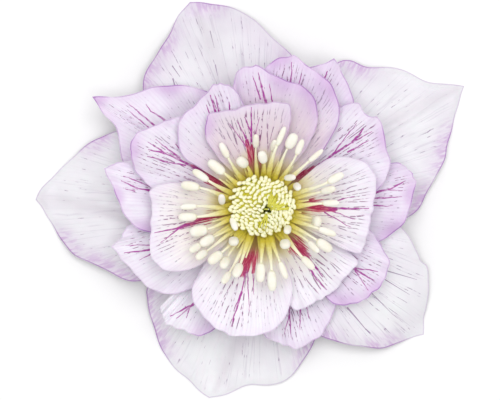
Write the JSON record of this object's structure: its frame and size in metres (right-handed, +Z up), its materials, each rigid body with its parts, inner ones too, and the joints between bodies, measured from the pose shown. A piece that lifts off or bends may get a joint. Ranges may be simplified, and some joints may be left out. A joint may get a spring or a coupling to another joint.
{
  "type": "double hellebore bloom",
  "caption": "Picked double hellebore flower lying face up: broad pale sepals under layered freckled petals, with a head of cream stamens.",
  "frame": {"origin": "on the surface the bloom lies on, under the middle of its bounding box", "axes": "+Z up out of the open face of the bloom; +X along its longest width, towards the east sepal; +Y towards the north sepal"},
  "size_m": [0.0804, 0.0742, 0.0199],
  "materials": {
    "receptacle": "satin",
    "sepal": "satin",
    "petal": "satin",
    "pistil": "satin",
    "young_anther": "matte",
    "anther": "matte"
  },
  "bodies": {
    "root": {"receptacle": "receptacle", "sepal_east": "sepal", "sepal_south": "sepal", "sepal_west": "sepal", "sepal_north": "sepal", "sepal_southeast": "sepal", "outer_petal_northwest": "petal", "outer_petal_north": "petal", "outer_petal_east": "petal", "outer_petal_south": "petal", "outer_petal_southwest": "petal", "outer_petal_northeast": "petal", "outer_petal_southeast": "petal", "outer_petal_west": "petal", "middle_petal_southeast": "petal", "middle_petal_northeast": "petal", "middle_petal_west": "petal", "inner_petal_south": "petal", "middle_petal_north": "petal", "middle_petal_northwest": "petal", "inner_petal_east": "petal", "inner_petal_west": "petal", "inner_petal_northwest": "petal", "inner_petal_north": "petal", "pistils": "pistil", "young_stamens": "young_anther", "open_stamens": "anther"}
  },
  "joints": []
}
